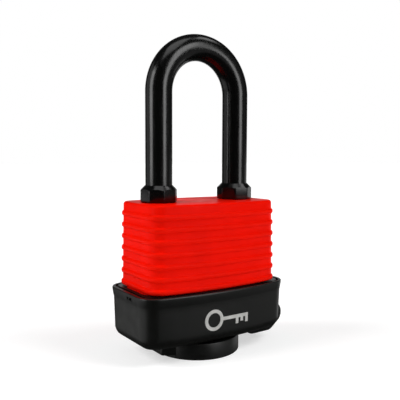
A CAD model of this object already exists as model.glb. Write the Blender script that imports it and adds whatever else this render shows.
import math

import bpy
from mathutils import Matrix, Vector


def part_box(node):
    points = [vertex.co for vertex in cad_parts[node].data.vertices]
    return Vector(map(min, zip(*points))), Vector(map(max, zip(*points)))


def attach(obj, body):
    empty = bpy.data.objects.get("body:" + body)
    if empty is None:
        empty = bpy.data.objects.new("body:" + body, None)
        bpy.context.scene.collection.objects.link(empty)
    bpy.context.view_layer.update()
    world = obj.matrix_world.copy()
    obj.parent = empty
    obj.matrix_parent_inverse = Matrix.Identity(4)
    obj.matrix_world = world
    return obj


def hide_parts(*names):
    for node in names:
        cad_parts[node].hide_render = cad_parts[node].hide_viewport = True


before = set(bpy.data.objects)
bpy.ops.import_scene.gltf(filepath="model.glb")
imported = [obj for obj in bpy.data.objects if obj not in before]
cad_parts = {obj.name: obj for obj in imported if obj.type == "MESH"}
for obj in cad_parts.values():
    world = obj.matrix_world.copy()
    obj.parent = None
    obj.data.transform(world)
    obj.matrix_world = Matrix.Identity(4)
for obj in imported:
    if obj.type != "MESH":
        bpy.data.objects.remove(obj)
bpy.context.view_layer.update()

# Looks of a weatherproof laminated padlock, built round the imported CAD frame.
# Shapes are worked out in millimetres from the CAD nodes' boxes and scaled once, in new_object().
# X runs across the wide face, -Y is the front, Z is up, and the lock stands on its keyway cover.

MM = 0.001
BODY, SHACKLE, COVER = "lock_body", "shackle", "keyway_cover"


def node_box(node):
    """(lowest corner, highest corner) of a CAD node, in millimetres."""
    low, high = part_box(node)
    return low / MM, high / MM


def spread(low, high, steps):
    """steps + 1 evenly spaced values from low to high, both ends included."""
    return [low + (high - low) * i / steps for i in range(steps + 1)]


# --- Mesh tools ---

def new_object(name, points, faces):
    """A mesh object from points in millimetres."""
    mesh = bpy.data.meshes.new(name)
    mesh.from_pydata([Vector(p) * MM for p in points], [], faces)
    mesh.validate()
    mesh.update()
    obj = bpy.data.objects.new(name, mesh)
    bpy.context.scene.collection.objects.link(obj)
    return obj


def apply_modifiers(obj):
    """Replaces obj's mesh by what its modifiers make of it."""
    bpy.context.view_layer.update()
    made = bpy.data.meshes.new_from_object(obj.evaluated_get(bpy.context.evaluated_depsgraph_get()))
    obj.modifiers.clear()
    obj.data = made
    return obj


def combine(obj, tool, operation):
    """Boolean of obj with tool, which is then removed."""
    modifier = obj.modifiers.new("combine", "BOOLEAN")
    modifier.operation, modifier.solver, modifier.object = operation, "EXACT", tool
    apply_modifiers(obj)
    bpy.data.objects.remove(tool)
    return obj


def cut(obj, *tools):
    """Cuts the tools out of obj."""
    for tool in tools:
        combine(obj, tool, "DIFFERENCE")
    return obj


def add(obj, *tools):
    """Joins the tools to obj."""
    for tool in tools:
        combine(obj, tool, "UNION")
    return obj


def bevel(obj, width, segments=3, angle=35):
    """Rounds every edge sharper than angle degrees by width millimetres."""
    modifier = obj.modifiers.new("bevel", "BEVEL")
    modifier.width, modifier.segments = width * MM, segments
    modifier.limit_method, modifier.angle_limit = "ANGLE", math.radians(angle)
    modifier.use_clamp_overlap = True
    return apply_modifiers(obj)


def turned(obj, matrix):
    """Moves obj's points by a matrix whose shift is in millimetres."""
    moved = matrix.copy()
    moved.translation = matrix.translation * MM
    obj.data.transform(moved)
    return obj


def shifted(obj, x=0.0, y=0.0, z=0.0):
    """Moves obj's points along the axes, in millimetres."""
    return turned(obj, Matrix.Translation((x, y, z)))


def skin(rings):
    """Points and faces of a closed tube through rings of equal length, with flat end caps."""
    count = len(rings[0])
    points = [p for ring in rings for p in ring]
    faces = []
    for i in range(len(rings) - 1):
        for j in range(count):
            k = (j + 1) % count
            faces.append((i * count + j, i * count + k, (i + 1) * count + k, (i + 1) * count + j))
    faces.append(tuple(reversed(range(count))))
    faces.append(tuple(range((len(rings) - 1) * count, len(rings) * count)))
    return points, faces


def lathe(name, profile, sides=96):
    """Solid of revolution about Z. profile is a list of (radius, z) from bottom to top."""
    angles = [2 * math.pi * j / sides for j in range(sides)]
    rings = [[(r * math.cos(a), r * math.sin(a), z) for a in angles] for r, z in profile]
    return new_object(name, *skin(rings))


def block(name, low, high):
    """Plain box for cutting or joining, in millimetres."""
    (x0, y0, z0), (x1, y1, z1) = low, high
    points = [(x, y, z) for z in (z0, z1) for x, y in ((x0, y0), (x1, y0), (x1, y1), (x0, y1))]
    faces = [(3, 2, 1, 0), (4, 5, 6, 7)]
    faces += [(i, (i + 1) % 4, (i + 1) % 4 + 4, i + 4) for i in range(4)]
    return new_object(name, points, faces)


def arc(centre, radius, start, end, steps):
    """Points (a, b) on an arc about centre, from angle start to end in degrees."""
    angles = [math.radians(a) for a in spread(start, end, steps)]
    return [(centre[0] + radius * math.cos(a), centre[1] + radius * math.sin(a)) for a in angles]


def along_y(obj, x, z):
    """Turns a piece built about Z so that it lies along Y, its axis through (x, z)."""
    return turned(obj, Matrix.Translation((x, 0, z)) @ Matrix.Rotation(math.radians(90), 4, "X"))


def sweep(name, path, radius, sides):
    """Round wire of that radius along path, a list of points, with flat ends."""
    path = [Vector(p) for p in path]
    rings = []
    side = None
    for i, p in enumerate(path):
        ahead = (path[min(i + 1, len(path) - 1)] - path[max(i - 1, 0)]).normalized()
        if side is None:
            side = ahead.orthogonal().normalized()
        side = (side - ahead * side.dot(ahead)).normalized()
        other = ahead.cross(side)
        rings.append([p + radius * (math.cos(a) * side + math.sin(a) * other)
                      for a in (2 * math.pi * j / sides for j in range(sides))])
    return new_object(name, *skin(rings))


# --- Outline shared by the steel body, the jacket and the base ---

CROWN_R = 76.0          # radius of the gentle bulge of the steel body's wide faces
SHELL_CROWN_R = 120.0   # the same for the jacket and the base, whose faces are flatter
END_STEPS, CORNER_STEPS, CROWN_STEPS = 4, 14, 14    # steps along half an end, a corner, half a wide face

# Fits between the pieces, each as half width, half thickness and corner radius
CAVITY = (20.2, 10.9, 5.2)      # room for the steel plates, in the jacket and in the base
TONGUE = (21.2, 11.75, 5.8)     # the jacket's skirt, which stands in the base
MOUTH = (21.4, 11.95, 5.8)      # the base's opening round that skirt


def outline(half_w, half_t, corner, crown):
    """(x, y) points round a body with crowned wide faces, flat ends and round corners."""
    down = crown - half_t
    px = half_w - corner
    py = math.sqrt((crown - corner) ** 2 - px ** 2) - down
    lean = math.degrees(math.asin(px / (crown - corner)))
    side = [(half_w, y) for y in spread(0, py, END_STEPS)]
    side += arc((px, py), corner, 0, 90 - lean, CORNER_STEPS)[1:]
    side += arc((0, -down), crown, 90 - lean, 90, CROWN_STEPS)[1:]
    half = side + [(-x, y) for x, y in reversed(side[1:-1])] + [(-half_w, 0)]
    return half[:-1] + [(-x, -y) for x, y in half[:-1]]


def prism(name, levels, crown=CROWN_R):
    """Closed solid through outlines. levels are (z, half width, half thickness, corner radius)."""
    rings = [[(x, y, z) for x, y in outline(w, t, c, crown)] for z, w, t, c in levels]
    return new_object(name, *skin(rings))


def grown(fit, by):
    """A fit made larger by that much all round."""
    return tuple(size + by for size in fit)


# --- Materials ---

FLAT_POINTINESS, EDGE_POINTINESS = 0.51, 0.58


class Shader:
    """A Principled material with small helpers for procedural detail."""

    def __init__(self, name, **sockets):
        self.material = bpy.data.materials.new(name)
        self.material.use_nodes = True
        self.tree = self.material.node_tree
        self.bsdf = self.tree.nodes["Principled BSDF"]
        for key, value in sockets.items():
            self.bsdf.inputs[key.replace("_", " ")].default_value = value
        self.place = self.tree.nodes.new("ShaderNodeTexCoord").outputs["Object"]
        self.height = None

    def node(self, kind, **settings):
        made = self.tree.nodes.new(kind)
        for key, value in settings.items():
            setattr(made, key, value)
        return made

    def scaled(self, stretch):
        """Object coordinates stretched along each axis."""
        mapping = self.node("ShaderNodeMapping")
        self.tree.links.new(self.place, mapping.inputs["Vector"])
        mapping.inputs["Scale"].default_value = stretch
        return mapping.outputs["Vector"]

    def noise(self, size_mm, detail=4.0, roughness=0.55, stretch=(1, 1, 1)):
        """Noise from 0 to 1 whose features are about size_mm across."""
        made = self.node("ShaderNodeTexNoise")
        self.tree.links.new(self.scaled(stretch), made.inputs["Vector"])
        made.inputs["Scale"].default_value = 1 / (size_mm * MM)
        made.inputs["Detail"].default_value = detail
        made.inputs["Roughness"].default_value = roughness
        return made.outputs["Fac"]

    def ranged(self, value, low, high, start=0.3, end=0.7):
        """value between start and end, mapped to between low and high."""
        made = self.node("ShaderNodeMapRange", clamp=True)
        self.tree.links.new(value, made.inputs["Value"])
        limits = {"From Min": start, "From Max": end, "To Min": low, "To Max": high}
        for key, number in limits.items():
            made.inputs[key].default_value = number
        return made.outputs["Result"]

    def mixed(self, factor, first, second):
        """Colour between first and second, each a colour or a socket."""
        made = self.node("ShaderNodeMix", data_type="RGBA")
        self.tree.links.new(factor, made.inputs["Factor"])
        for socket, colour in ((made.inputs[6], first), (made.inputs[7], second)):
            if isinstance(colour, tuple):
                socket.default_value = (*colour, 1)
            else:
                self.tree.links.new(colour, socket)
        return made.outputs[2]

    def multiplied(self, first, second):
        made = self.node("ShaderNodeMath", operation="MULTIPLY")
        self.tree.links.new(first, made.inputs[0])
        if isinstance(second, (int, float)):
            made.inputs[1].default_value = second
        else:
            self.tree.links.new(second, made.inputs[1])
        return made.outputs[0]

    def edges(self):
        """1 on convex edges and 0 on flat faces."""
        pointiness = self.node("ShaderNodeNewGeometry").outputs["Pointiness"]
        return self.ranged(pointiness, 0, 1, FLAT_POINTINESS, EDGE_POINTINESS)

    def bump(self, value, height_mm, strength=1.0):
        """Adds a bump of that height, on top of any before it."""
        made = self.node("ShaderNodeBump")
        made.inputs["Strength"].default_value = strength
        made.inputs["Distance"].default_value = height_mm * MM
        self.tree.links.new(value, made.inputs["Height"])
        if self.height is not None:
            self.tree.links.new(self.height, made.inputs["Normal"])
        self.height = made.outputs["Normal"]
        self.tree.links.new(self.height, self.bsdf.inputs["Normal"])

    def feed(self, socket, value):
        self.tree.links.new(value, self.bsdf.inputs[socket])


def shade(colour, factor):
    """The colour darker or lighter by that factor."""
    return tuple(min(1, c * factor) for c in colour)


def moulded_plastic(name, colour, worn, roughness, specular=0.5):
    """Moulded plastic: faint mottling, patchy gloss, fine grain, a few scuffs and paler edges."""
    s = Shader(name, Specular_IOR_Level=specular)
    cloud = s.ranged(s.noise(9), 0, 1)
    body = s.mixed(cloud, shade(colour, 0.94), shade(colour, 1.05))
    scuffs = s.ranged(s.noise(2.2, 8, 0.75, (1, 1, 0.35)), 0, 1, 0.66, 0.78)
    scuffed = s.mixed(s.multiplied(scuffs, 0.35), body, worn)
    wear = s.multiplied(s.edges(), s.ranged(s.noise(1.6, 6), 0.1, 0.6))
    s.feed("Base Color", s.mixed(wear, scuffed, worn))
    s.feed("Roughness", s.ranged(s.noise(3.5, 5), roughness - 0.05, roughness + 0.07))
    s.bump(s.noise(0.35, 2), 0.006)
    s.bump(s.noise(14, 2), 0.03, 0.6)
    return s.material


def vinyl(name, colour, roughness):
    """Glossy shrink-fitted vinyl: slow waviness, fine lengthwise drag marks and dust."""
    s = Shader(name, Specular_IOR_Level=0.5)
    dust = s.ranged(s.noise(1.1, 8, 0.7), 0, 0.35, 0.6, 0.75)
    s.feed("Base Color", s.mixed(dust, colour, shade(colour, 2.2)))
    marks = s.noise(0.5, 4, 0.6, (1, 1, 0.08))
    s.feed("Roughness", s.ranged(marks, roughness - 0.04, roughness + 0.08))
    s.bump(s.noise(6, 2), 0.02)
    s.bump(marks, 0.004)
    return s.material


def worked_metal(name, colour, dark, roughness, stretch, grain_mm=0.3):
    """Machined, drawn or brushed metal: grain along one way, tarnish and brighter edges."""
    s = Shader(name, Metallic=1.0)
    tarnish = s.ranged(s.noise(3, 6, 0.6), 0, 1)
    s.feed("Base Color", s.mixed(s.edges(), s.mixed(tarnish, dark, colour), shade(colour, 1.12)))
    grain = s.noise(grain_mm, 5, 0.6, stretch)
    s.feed("Roughness", s.ranged(grain, roughness - 0.08, roughness + 0.12))
    s.bump(grain, 0.004)
    return s.material


RED = moulded_plastic("jacket_red", (0.83, 0.0048, 0.0004), (0.86, 0.016, 0.004), 0.36, 0.02)
BASE_BLACK = moulded_plastic(
    "base_black", (0.0021, 0.0025, 0.0019), (0.008, 0.008, 0.0075), 0.36)
COVER_BLACK = moulded_plastic(
    "cover_black", (0.0018, 0.0023, 0.0017), (0.007, 0.007, 0.0065), 0.42, 0.4)
SEAL_BLACK = moulded_plastic(
    "seal_black", (0.0008, 0.0008, 0.0008), (0.003, 0.003, 0.003), 0.19, 0.45)
SLEEVE = vinyl("sleeve_vinyl", (0.0005, 0.0006, 0.0005), 0.20)
PRINT = moulded_plastic("mark_print", (0.52, 0.52, 0.50), (0.30, 0.30, 0.29), 0.5, 0.2)

# Which way a metal's grain runs, as the stretch of its noise
ALONG_X, ALONG_Y, ALONG_Z, EVEN = (0.06, 1, 1), (1, 0.06, 1), (1, 1, 0.06), (1, 1, 1)
PLATE_STEEL = worked_metal("plate_steel", (0.56, 0.57, 0.58), (0.40, 0.40, 0.41), 0.34, ALONG_X)
RIVET_STEEL = worked_metal("rivet_steel", (0.55, 0.55, 0.55), (0.38, 0.37, 0.36), 0.30, EVEN)
BAR_STEEL = worked_metal("bar_steel", (0.66, 0.67, 0.69), (0.52, 0.52, 0.53), 0.18, EVEN)
WIRE = worked_metal("spring_wire", (0.60, 0.60, 0.62), (0.42, 0.42, 0.43), 0.24, EVEN, 0.12)
LEVER_STEEL = worked_metal("lever_steel", (0.50, 0.50, 0.51), (0.34, 0.33, 0.33), 0.36, ALONG_Y)
BRASS = worked_metal("cylinder_brass", (0.72, 0.50, 0.20), (0.52, 0.34, 0.12), 0.26, ALONG_Z)
PIN_BRASS = worked_metal("pin_brass", (0.78, 0.56, 0.25), (0.58, 0.40, 0.16), 0.22, EVEN, 0.15)

SHARP_ANGLE = 38    # edges sharper than this stay crisp in the shading


def finished(obj, material, body, replaces=()):
    """Shades a piece, gives it its material and puts it on its CAD body."""
    mesh = obj.data
    mesh.materials.clear()
    mesh.materials.append(material)
    mesh.polygons.foreach_set("use_smooth", [True] * len(mesh.polygons))
    mesh.polygons.foreach_set("material_index", [0] * len(mesh.polygons))
    mesh.set_sharp_from_angle(angle=math.radians(SHARP_ANGLE))
    mesh.update()
    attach(obj, body)
    if replaces:
        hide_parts(*replaces)
    return obj


# --- Jacket ---

jacket_low, jacket_high = node_box("jacket")
base_low, base_high = node_box("base_bumper")
stack_top = node_box("steel_plate_20")[1].z
JACKET_TOP = jacket_high.z
BASE_RIM = base_high.z
JACKET_FOOT = BASE_RIM + 0.5
JACKET_X = 0.3                  # how far the jacket's middle lies towards the hinge
JACKET = (21.3, 12.4, 4.0)      # half width, half thickness and corner radius at the top
JACKET_DRAFT = 0.35             # how far each side leans out from the top to the foot
JACKET_EDGE = 0.8               # rounding of the top edge
RIBS, RIB_H, RIB_OUT = 7, 1.5, 0.45
RIB_PITCH = (JACKET_TOP - JACKET_FOOT - RIB_H / 2) / RIBS
# Half a rib's section: (distance in from the rib's own edge, outward offset)
RIB_RISE = [(-0.18, 0.0), (-0.06, 0.03), (0.02, 0.10), (0.12, 0.24), (0.28, 0.37), (0.50, RIB_OUT)]
LOWEST_RIB_RISE = [(0.0, 0.0), (0.01, 0.22)] + RIB_RISE[4:]
LEG_X = 13.6                    # from the middle to each leg's axis
LEG_HOLE_R = 3.6
# Funnel at the top of each leg hole: (wider by, above the jacket's top)
LEG_HOLE_RIM = [(0, -3), (0, -0.35), (0.1, -0.1), (0.35, 0.02), (0.4, 1)]


def jacket_side():
    """(z, outward offset) up the jacket's side, from the foot to the rounded top edge."""
    side = []
    for i in range(RIBS, 0, -1):
        middle = JACKET_TOP - i * RIB_PITCH
        low, high = max(JACKET_FOOT, middle - RIB_H / 2), middle + RIB_H / 2
        rise = LOWEST_RIB_RISE if i == RIBS else RIB_RISE
        side += [(low + inward, out) for inward, out in rise]
        side += [(high - inward, out) for inward, out in reversed(RIB_RISE)]
    corner = arc((-JACKET_EDGE, JACKET_TOP - JACKET_EDGE), JACKET_EDGE, 0, 90, 9)
    return side + [(z, out) for out, z in corner]


def make_jacket():
    levels = []
    for z, out in jacket_side():
        lean = JACKET_DRAFT * (JACKET_TOP - z) / (JACKET_TOP - JACKET_FOOT)
        levels.append((z, *grown(JACKET, lean + out)))
    jacket = shifted(prism("jacket_shell", levels, SHELL_CROWN_R), JACKET_X)
    add(jacket, prism("tongue", [(jacket_low.z, *TONGUE), (JACKET_FOOT + 1, *TONGUE)]))
    cut(jacket, prism("cavity", [(jacket_low.z - 1, *CAVITY), (stack_top + 0.1, *CAVITY)]))
    hole = [(LEG_HOLE_R + wider, JACKET_TOP + above) for wider, above in LEG_HOLE_RIM]
    for side in (-1, 1):
        cut(jacket, shifted(lathe("leg_hole", hole, 64), side * LEG_X))
    return finished(jacket, RED, BODY, ["jacket"])


# --- Bumper base ---

BASE_FOOT = 5.1
BASE_X = 0.45                           # how far the base's middle lies towards the hinge
BASE = (BASE_X - base_low.x, base_high.y, 5.5)     # half width, half thickness, corner radius
BASE_EDGE, BASE_DRAFT = 3.2, 0.7        # rounding of the bottom edge, inward lean of the wall
LIP_OUT, LIP_H = 0.45, 3.0              # flare of the wall below the rim
HINGE_X, HINGE_Z, LUG_R = 24.85, 8.1, 3.6
LUG_IN, LUG_OUT = 3.6, 6.5              # the lugs' inner and outer faces, from the middle
# The lug's belly, which runs in under the base: (in from the hinge, below it, radius)
LUG_BELLY = [(2.15, 2.5, 3.0), (8, 2.9, 2.7)]
PIN_HOLE_R = 1.02
BOSS_R, WELL_R = 10.0, 7.2
NOTCH_Y = -2.5                          # middle of the moulding recess, on the end away from the hinge


def base_levels():
    """Outer skin of the base: rounded bottom edge, drafted wall, flared lip, rounded rim."""
    wall = BASE_DRAFT + 0.05
    edge_top, lip_foot = BASE_FOOT + BASE_EDGE, BASE_RIM - LIP_H
    inset = []
    for a in spread(0, 90, 8):
        s, c = math.sin(math.radians(a)), math.cos(math.radians(a))
        inset.append((BASE_FOOT + BASE_EDGE * (1 - c), wall + (BASE_EDGE - 0.4) * (1 - s)))
    for k in spread(0, 1, 6)[1:]:
        inset.append((edge_top + (lip_foot - edge_top) * k, wall + (LIP_OUT - wall) * k))
    for k in spread(0, 1, 6)[1:]:
        inset.append((lip_foot + (LIP_H - 0.45) * k, LIP_OUT * (1 - k) ** 1.3 + 0.01))
    inset += [(BASE_RIM - down, d) for down, d in ((0.22, 0.02), (0.09, 0.07), (0.02, 0.17), (0, 0.32))]
    return [(z, *grown(BASE, -d)) for z, d in inset]


def around(circles):
    """Convex outline round (x, z, radius) circles, as (x, z) points."""
    cloud = sorted({(round(x, 4), round(z, 4))
                    for cx, cz, r in circles for x, z in arc((cx, cz), r, 0, 360, 96)})

    def chain(points):
        edge = []
        for q in points:
            while len(edge) > 1 and ((edge[-1][0] - edge[-2][0]) * (q[1] - edge[-2][1])
                                     - (edge[-1][1] - edge[-2][1]) * (q[0] - edge[-2][0])) <= 0:
                edge.pop()
            edge.append(q)
        return edge[:-1]
    return chain(cloud) + chain(cloud[::-1])


def slab(name, circles, low, high, edge):
    """Solid between y = low and y = high, outlined round circles in XZ, with rounded rims."""
    outer = around(circles)
    cx, cz = (sum(q[k] for q in outer) / len(outer) for k in (0, 1))
    rings = []
    for y, inset in ((low, edge), (low + 0.3 * edge, 0.3 * edge), (low + edge, 0.0),
                     (high - edge, 0.0), (high - 0.3 * edge, 0.3 * edge), (high, edge)):
        ring = []
        for x, z in outer:
            away = math.hypot(x - cx, z - cz)
            ring.append((x - inset * (x - cx) / away, y, z - inset * (z - cz) / away))
        rings.append(ring[::-1])
    return new_object(name, *skin(rings))


def hinge_lug(side):
    """Drop-shaped lug: round at the hinge, with a belly that runs in under the base."""
    circles = [(HINGE_X, HINGE_Z, LUG_R)]
    circles += [(HINGE_X - inward, HINGE_Z - down, r) for inward, down, r in LUG_BELLY]
    low, high = sorted((side * LUG_IN, side * LUG_OUT))
    return slab("lug", circles, low, high, 0.5)


def rim_channel():
    """Shallow channel round the top of the rim, between the outer lip and the jacket."""
    w, t, corner = BASE
    channel = prism("channel", [(BASE_RIM - 0.55, w - 1.15, t - 0.75, corner - 1.1),
                                (BASE_RIM + 1, w - 0.95, t - 0.6, corner - 0.95)], SHELL_CROWN_R)
    inner = (w - 2.0, t - 1.25, corner - 1.7)
    cut(channel, prism("inner", [(BASE_RIM - 2, *inner), (BASE_RIM + 2, *inner)], SHELL_CROWN_R))
    return shifted(channel, BASE_X)


def make_base():
    base = shifted(prism("base_shell", base_levels(), SHELL_CROWN_R), BASE_X)
    boss_low = base_low.z
    boss = [(BOSS_R - 0.4, boss_low), (BOSS_R - 0.12, boss_low + 0.12), (BOSS_R, boss_low + 0.4),
            (BOSS_R, BASE_FOOT - 0.5), (BOSS_R + 0.15, BASE_FOOT - 0.15), (BOSS_R + 0.5, BASE_FOOT + 0.2)]
    add(base, lathe("boss", boss), hinge_lug(-1), hinge_lug(1))
    mouth = [(jacket_low.z - 0.2, *MOUTH), (BASE_RIM - 0.2, *MOUTH),
             (BASE_RIM + 0.05, *grown(MOUTH, 0.2)), (BASE_RIM + 1, *grown(MOUTH, 0.3))]
    cut(base, prism("socket", [(BASE_FOOT + 2, *CAVITY), (BASE_RIM + 1, *CAVITY)]), prism("mouth", mouth))
    well = [(WELL_R + 0.5, boss_low - 1), (WELL_R + 0.3, boss_low), (WELL_R, boss_low + 0.3),
            (WELL_R, BASE_FOOT + 3)]
    cut(base, lathe("well", well))
    pocket_r = LUG_R - 0.2
    pocket = lathe("pocket", [(pocket_r, -LUG_IN), (pocket_r, LUG_IN)], 64)
    arm_room = block("arm_room", (HINGE_X - 3.55, -LUG_IN, BASE_FOOT - 3),
                     (HINGE_X + 4.45, LUG_IN, BASE_FOOT + 1.2))
    pin_hole = lathe("pin_hole", [(PIN_HOLE_R, -8), (PIN_HOLE_R, 8)], 48)
    cut(base, along_y(pocket, HINGE_X, HINGE_Z), arm_room, along_y(pin_hole, HINGE_X, HINGE_Z))
    cut(base, rim_channel())
    # shallow moulding recess under the lip, deeper in its middle
    for half, depth, low, high in ((1.6, 0.42, 1.9, 1.0), (0.8, 0.95, 1.8, 1.15)):
        cut(base, block("notch", (base_low.x - 1, NOTCH_Y - half, BASE_RIM - low),
                        (base_low.x + depth, NOTCH_Y + half, BASE_RIM - high)))
    return finished(base, BASE_BLACK, BODY, ["base_bumper"])


# --- Keyway cover ---

COVER_X, COVER_R, COVER_H = -0.4, 12.9, 4.8
CUP_R, CUP_FLOOR = COVER_R - 1.8, 1.6       # the hollow over the key well
ARM_HALF, KNUCKLE_R = 3.3, 3.1
TAB_X = node_box("keyway_cover")[0].x
TAB_LOW, TAB_HIGH, TAB_END, TAB_ROOT = 0.95, 4.2, 4.4, 6.6      # heights and half widths
GRIPS, GRIP_LOW, GRIP_PITCH, GRIP_W = 3, 1.7, 0.8, 0.26         # grooves across the tab's end


def cover_cup():
    """The round cover: rounded foot, eased rim, hollow inside."""
    foot = 0.3
    cup = [(COVER_R - foot, 0)] + arc((COVER_R - foot, foot), foot, -90, 0, 6)[1:]
    cup += [(COVER_R, COVER_H - 0.25), (COVER_R - 0.08, COVER_H - 0.06), (COVER_R - 0.25, COVER_H)]
    cup += [(CUP_R + 0.2, COVER_H), (CUP_R + 0.05, COVER_H - 0.06), (CUP_R, COVER_H - 0.25)]
    cup += [(CUP_R, CUP_FLOOR + 0.4), (CUP_R - 0.1, CUP_FLOOR + 0.12), (CUP_R - 0.4, CUP_FLOOR)]
    return shifted(lathe("cover_shell", cup), COVER_X)


def finger_tab():
    """Tab opposite the hinge, flared into the round cover, with grooves across its end."""
    root_x = COVER_X - COVER_R + 2.2
    plan = [(TAB_X, -TAB_END), (root_x, -TAB_ROOT), (root_x, TAB_ROOT), (TAB_X, TAB_END)]
    tab = new_object("tab", *skin([[(x, y, z) for x, y in plan] for z in (TAB_LOW, TAB_HIGH)]))
    bevel(tab, 0.45)
    for k in range(GRIPS):
        z = GRIP_LOW + GRIP_PITCH * k
        cut(tab, block("grip", (TAB_X - 1, -3.4, z - GRIP_W / 2), (TAB_X + 0.22, 3.4, z + GRIP_W / 2)))
    return tab


def make_cover():
    cover = cover_cup()
    arm_end = HINGE_X - 2.25
    arm = bevel(block("arm", (10.9, -ARM_HALF, 3.2), (arm_end, ARM_HALF, COVER_H)), 0.3)
    bend = [(arm_end, 4.5, 1.3), (HINGE_X - 0.85, HINGE_Z - 1.5, 1.4)]
    neck = slab("neck", bend, -ARM_HALF, ARM_HALF, 0.2)
    ends = [(KNUCKLE_R - 0.25, ARM_HALF), (KNUCKLE_R - 0.06, ARM_HALF - 0.08),
            (KNUCKLE_R, ARM_HALF - 0.25)]
    knuckle = lathe("knuckle", [(r, -y) for r, y in ends] + ends[::-1], 64)
    add(cover, arm, neck, along_y(knuckle, HINGE_X, HINGE_Z), finger_tab())
    bore_r = PIN_HOLE_R + 0.05
    cut(cover, along_y(lathe("pin_bore", [(bore_r, -5), (bore_r, 5)], 48), HINGE_X, HINGE_Z))
    return finished(cover, COVER_BLACK, COVER, ["keyway_cover"])


# --- Shackle ---

sleeve_low, sleeve_high = node_box("shackle_sleeve")
BAR_R = 3.3
SLEEVE_R = sleeve_high.x - LEG_X
BEND_Z = sleeve_high.z - LEG_X - SLEEVE_R
SEAL_R = 5.5        # to the octagon's corners


def make_sleeve():
    foot = sleeve_low.z
    leg = [(LEG_X, 0, z) for z in (foot, *spread(foot + 0.4, BEND_Z, 20))]
    bend = [(x, 0, z) for x, z in arc((0, BEND_Z), LEG_X, 0, 180, 96)]
    path = leg + bend[1:-1] + [(-x, y, z) for x, y, z in reversed(leg)]
    sleeve = sweep("sleeve_tube", path, SLEEVE_R, 64)
    inside = [(LEG_X, 0, foot - 1)] + path[1:-1] + [(-LEG_X, 0, foot - 1)]
    cut(sleeve, sweep("bar_room", inside, BAR_R + 0.02, 64))
    return finished(sleeve, SLEEVE, SHACKLE, ["shackle_sleeve"])


def make_seal(name, node, side, turn):
    """Octagonal seal round a leg, turned by that many degrees, with a conical shoulder."""
    low, high = node_box(node)
    height = high.z - low.z
    ring = arc((0, 0), SEAL_R, turn, turn + 315, 7)
    seal = new_object(name, *skin([[(x, y, z) for x, y in ring] for z in (0, height)]))
    bevel(seal, 0.35, 4, 30)
    top_r = SLEEVE_R + 0.15
    cone = [(top_r + height + 0.2, -0.2), (top_r + 0.35, height - 0.35),
            (top_r + 0.12, height - 0.1), (top_r, height)]
    combine(seal, lathe("cone", cone), "INTERSECT")
    bore = [(SLEEVE_R + 0.02, -1), (SLEEVE_R + 0.02, height - 0.3),
            (SLEEVE_R + 0.12, height + 0.01), (SLEEVE_R + 0.5, height + 1)]
    cut(seal, lathe("bore", bore))
    shifted(seal, side * LEG_X, 0, low.z)
    return finished(seal, SEAL_BLACK, SHACKLE, [node])


# --- Springs, drawn as round wire with closed ends ---

def coil_path(radius, wire, height, turns, steps):
    """Helix about Z that fills the height, with three quarters of a closed turn at each end."""
    closed = 0.75
    climb = height - 4 * wire
    points = []
    for i in range(int((turns + 2 * closed) * steps) + 1):
        t = i / steps
        risen = min(max((t - closed) / turns, 0), 1)
        dead = min(t, closed) / closed + max(t - closed - turns, 0) / closed
        a = 2 * math.pi * t
        points.append((radius * math.cos(a), radius * math.sin(a), wire + wire * dead + climb * risen))
    return points


def joined(name, objects):
    """One mesh object from several."""
    points, faces = [], []
    for obj in objects:
        start = len(points)
        points += [v.co / MM for v in obj.data.vertices]
        faces += [tuple(start + i for i in p.vertices) for p in obj.data.polygons]
        bpy.data.objects.remove(obj)
    return new_object(name, points, faces)


def make_shackle_spring():
    low, high = node_box("shackle_spring")
    wire = 0.4
    spring = sweep("shackle_spring_wire", coil_path(2.4, wire, high.z - low.z, 5, 28), wire, 14)
    shifted(spring, -LEG_X, 0, low.z)
    return finished(spring, WIRE, BODY, ["shackle_spring"])


def make_lever_springs():
    """Two springs along X, each from the cylinder's side out to its lever."""
    low, high = node_box("lever_springs")
    near, wire = 4.83, 0.18
    coils = []
    for turn in (0, 180):
        coil = sweep("coil", coil_path(0.62, wire, high.x - near, 5, 20), wire, 10)
        turned(coil, Matrix.Rotation(math.radians(turn), 4, "Z")
               @ Matrix.Translation((near, 0, (low.z + high.z) / 2))
               @ Matrix.Rotation(math.radians(90), 4, "Y"))
        coils.append(coil)
    return finished(joined("lever_spring_wires", coils), WIRE, BODY, ["lever_springs"])


def make_pin_springs():
    """Five springs along Y, one behind each driver pin."""
    low, high = node_box("pin_springs")
    pitch, radius, wire = 3.6, 0.95, 0.16
    coils = []
    for k in range(5):
        coil = sweep("coil", coil_path(radius, wire, high.y - low.y, 4, 20), wire, 10)
        turned(coil, Matrix.Translation((0, low.y, low.z + radius + wire + pitch * k))
               @ Matrix.Rotation(math.radians(-90), 4, "X"))
        coils.append(coil)
    return finished(joined("pin_spring_wires", coils), WIRE, BODY, ["pin_springs"])


# --- Generic printed mark ---

PRINT_H = 0.05


def base_front(x, z):
    """y of the base's front face at x and height z."""
    levels = base_levels()
    for (z0, _, t0, _), (z1, _, t1, _) in zip(levels, levels[1:]):
        if z0 <= z <= z1:
            half_t = t0 + (t1 - t0) * (z - z0) / (z1 - z0)
            break
    return -(math.sqrt(SHELL_CROWN_R ** 2 - (x - BASE_X) ** 2) - (SHELL_CROWN_R - half_t))


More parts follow.
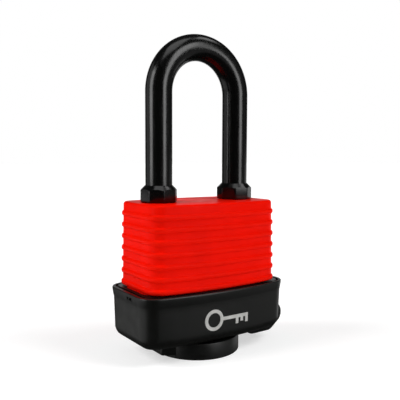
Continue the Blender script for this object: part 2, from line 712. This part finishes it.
def wrapped(name, strips, material):
    """Strips, each two matching rows of (x, z) points, printed on the base's front face."""
    points, faces = [], []
    for lower, upper in strips:
        start, count = len(points), len(lower)
        points += [(x, base_front(x, z) - PRINT_H, z) for x, z in lower + upper]
        faces += [(start + i, start + i + 1, start + count + i + 1, start + count + i)
                  for i in range(count - 1)]
    mark = new_object(name, points, faces)
    solid = mark.modifiers.new("solid", "SOLIDIFY")
    solid.thickness, solid.offset = PRINT_H * 1.6 * MM, -1
    apply_modifiers(mark)
    return finished(mark, material, BODY)


def bar(x0, x1, z0, z1, steps):
    """Strip for wrapped() that fills a rectangle."""
    xs = spread(x0, x1, steps)
    return [(x, z0) for x in xs], [(x, z1) for x in xs]


def make_mark():
    """A plain key pictogram in pale print: a ring, a stem and three teeth."""
    z, ring_x, outer, inner = 11.9, -3.3, 3.1, 2.1
    half, stem_end, tooth_w = 0.5, 9.0, 1.0
    ring = (arc((ring_x, z), inner, 0, 360, 48), arc((ring_x, z), outer, 0, 360, 48))
    stem = bar(ring_x + outer - 0.15, stem_end, z - half, z + half, 24)
    teeth = [bar(stem_end - back, stem_end - back + tooth_w, z - half - drop, z - half, 3)
             for back, drop in ((1.0, 1.7), (2.8, 1.2), (4.6, 1.7))]
    return wrapped("key_mark", [ring, stem, *teeth], PRINT)


# --- Build ---

make_jacket()
make_base()
make_cover()
make_sleeve()
make_seal("heel_seal_ring", "heel_seal", -1, -14.6)
make_seal("toe_seal_ring", "toe_seal", 1, 11.4)
make_shackle_spring()
make_lever_springs()
make_pin_springs()
make_mark()

NODE_MATERIALS = {
    PLATE_STEEL: ["steel_plate_%02d" % i for i in range(1, 21)],
    RIVET_STEEL: ["body_rivets", "heel_retaining_pin", "cover_hinge_pin"],
    BAR_STEEL: ["shackle"],
    WIRE: ["plug_clip"],
    LEVER_STEEL: ["toe_lever", "heel_lever", "cam"],
    BRASS: ["cylinder_shell", "plug", "pin_cover"],
    PIN_BRASS: ["driver_pins", "key_pins"],
}
for material, nodes in NODE_MATERIALS.items():
    for node in nodes:
        cad_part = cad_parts[node]
        if not cad_part.material_slots:
            cad_part.data.materials.append(material)
        for slot in cad_part.material_slots:
            slot.material = material


# --- Floor, light and camera ---

FLOOR_REACH = 3000
floor = block("floor", (-FLOOR_REACH, -FLOOR_REACH, -5), (FLOOR_REACH, FLOOR_REACH, 0))
floor_shader = Shader("floor", Base_Color=(0.5, 0.5, 0.5, 1), Roughness=0.7,
                      Specular_IOR_Level=0.1, Emission_Color=(1, 1, 1, 1), Emission_Strength=0.6)
floor.data.materials.append(floor_shader.material)
floor.visible_glossy = floor.visible_shadow = False

# the surroundings are white to the camera and almost dark to everything else
world = bpy.data.worlds.new("studio")
bpy.context.scene.world = world
world.use_nodes = True
sky = world.node_tree.nodes["Background"]
path_info = world.node_tree.nodes.new("ShaderNodeLightPath")
strength = world.node_tree.nodes.new("ShaderNodeMapRange")
world.node_tree.links.new(path_info.outputs["Is Camera Ray"], strength.inputs["Value"])
strength.inputs["To Min"].default_value = 0.03
strength.inputs["To Max"].default_value = 1.0
world.node_tree.links.new(strength.outputs["Result"], sky.inputs["Strength"])
sky.inputs["Color"].default_value = (1, 1, 1, 1)

MIDDLE = Vector((0, 0, 45))


def placed(name, data, bearing, elevation, distance):
    """Light facing the lock, seen from it at a bearing (from +X towards +Y) and an elevation."""
    a, e = math.radians(bearing), math.radians(elevation)
    away = Vector((math.cos(a) * math.cos(e), math.sin(a) * math.cos(e), math.sin(e)))
    lamp = bpy.data.objects.new(name, data)
    lamp.location = (MIDDLE + away * distance) * MM
    lamp.rotation_euler = (-away).to_track_quat("-Z", "Y").to_euler()
    bpy.context.scene.collection.objects.link(lamp)
    return lamp


def soft_fill(name, bearing, elevation, irradiance, width_deg):
    """Wide soft light that shapes the colours but leaves no reflection."""
    data = bpy.data.lights.new(name, "SUN")
    data.energy, data.angle = irradiance, math.radians(width_deg)
    placed(name, data, bearing, elevation, 900).visible_glossy = False


def strip_box(name, bearing, elevation, distance, width, height, radiance):
    """Softbox that shows only in reflections."""
    data = bpy.data.lights.new(name, "AREA")
    data.shape, data.size, data.size_y = "RECTANGLE", width * MM, height * MM
    data.energy = radiance * math.pi * width * MM * height * MM
    lamp = placed(name, data, bearing, elevation, distance)
    lamp.visible_diffuse = lamp.visible_camera = False


# bearing and elevation, then strength and width, or distance, width, height and strength
soft_fill("fill_left", 163, 40, 2.25, 28)
soft_fill("fill_right", 312, 46, 2.05, 28)
soft_fill("fill_top", 240, 85, 0.4, 60)
strip_box("left_box", 174, 18, 600, 262, 485, 4.1)
strip_box("left_rim", 138, 18, 600, 420, 485, 0.38)
strip_box("left_low", 153, -19, 600, 900, 277, 0.5)
strip_box("right_box", 291, 18, 600, 255, 485, 4.2)
strip_box("right_rim", 325, 14, 600, 430, 430, 0.08)
strip_box("right_low", 312, -19, 600, 840, 277, 0.2)
strip_box("back_box", 57, 5, 700, 600, 400, 0.6)
strip_box("back_right", 8, -10, 700, 500, 250, 0.7)
strip_box("top_box", 240, 75, 620, 420, 420, 1.5)
strip_box("top_right", 346, 57, 620, 190, 190, 2.4)

CAMERA_AT = Vector((-95.86, -145.35, 58.99))
YAW, PITCH, ROLL = 33.6, 4.53, 0.22     # from looking along +Y, level: round, down, tilt
SENSOR_MM, LENS_MM = 36.0, 51.85
camera_data = bpy.data.cameras.new("camera")
camera_data.sensor_width, camera_data.lens = SENSOR_MM, LENS_MM
camera_data.clip_start, camera_data.clip_end = 0.01, 20
camera = bpy.data.objects.new("camera", camera_data)
camera.matrix_world = (Matrix.Translation(CAMERA_AT * MM)
                       @ Matrix.Rotation(math.radians(-YAW), 4, "Z")
                       @ Matrix.Rotation(math.radians(90 - PITCH), 4, "X")
                       @ Matrix.Rotation(math.radians(ROLL), 4, "Z"))
bpy.context.scene.collection.objects.link(camera)
bpy.context.scene.camera = camera
bpy.context.scene.view_settings.view_transform = "Standard"
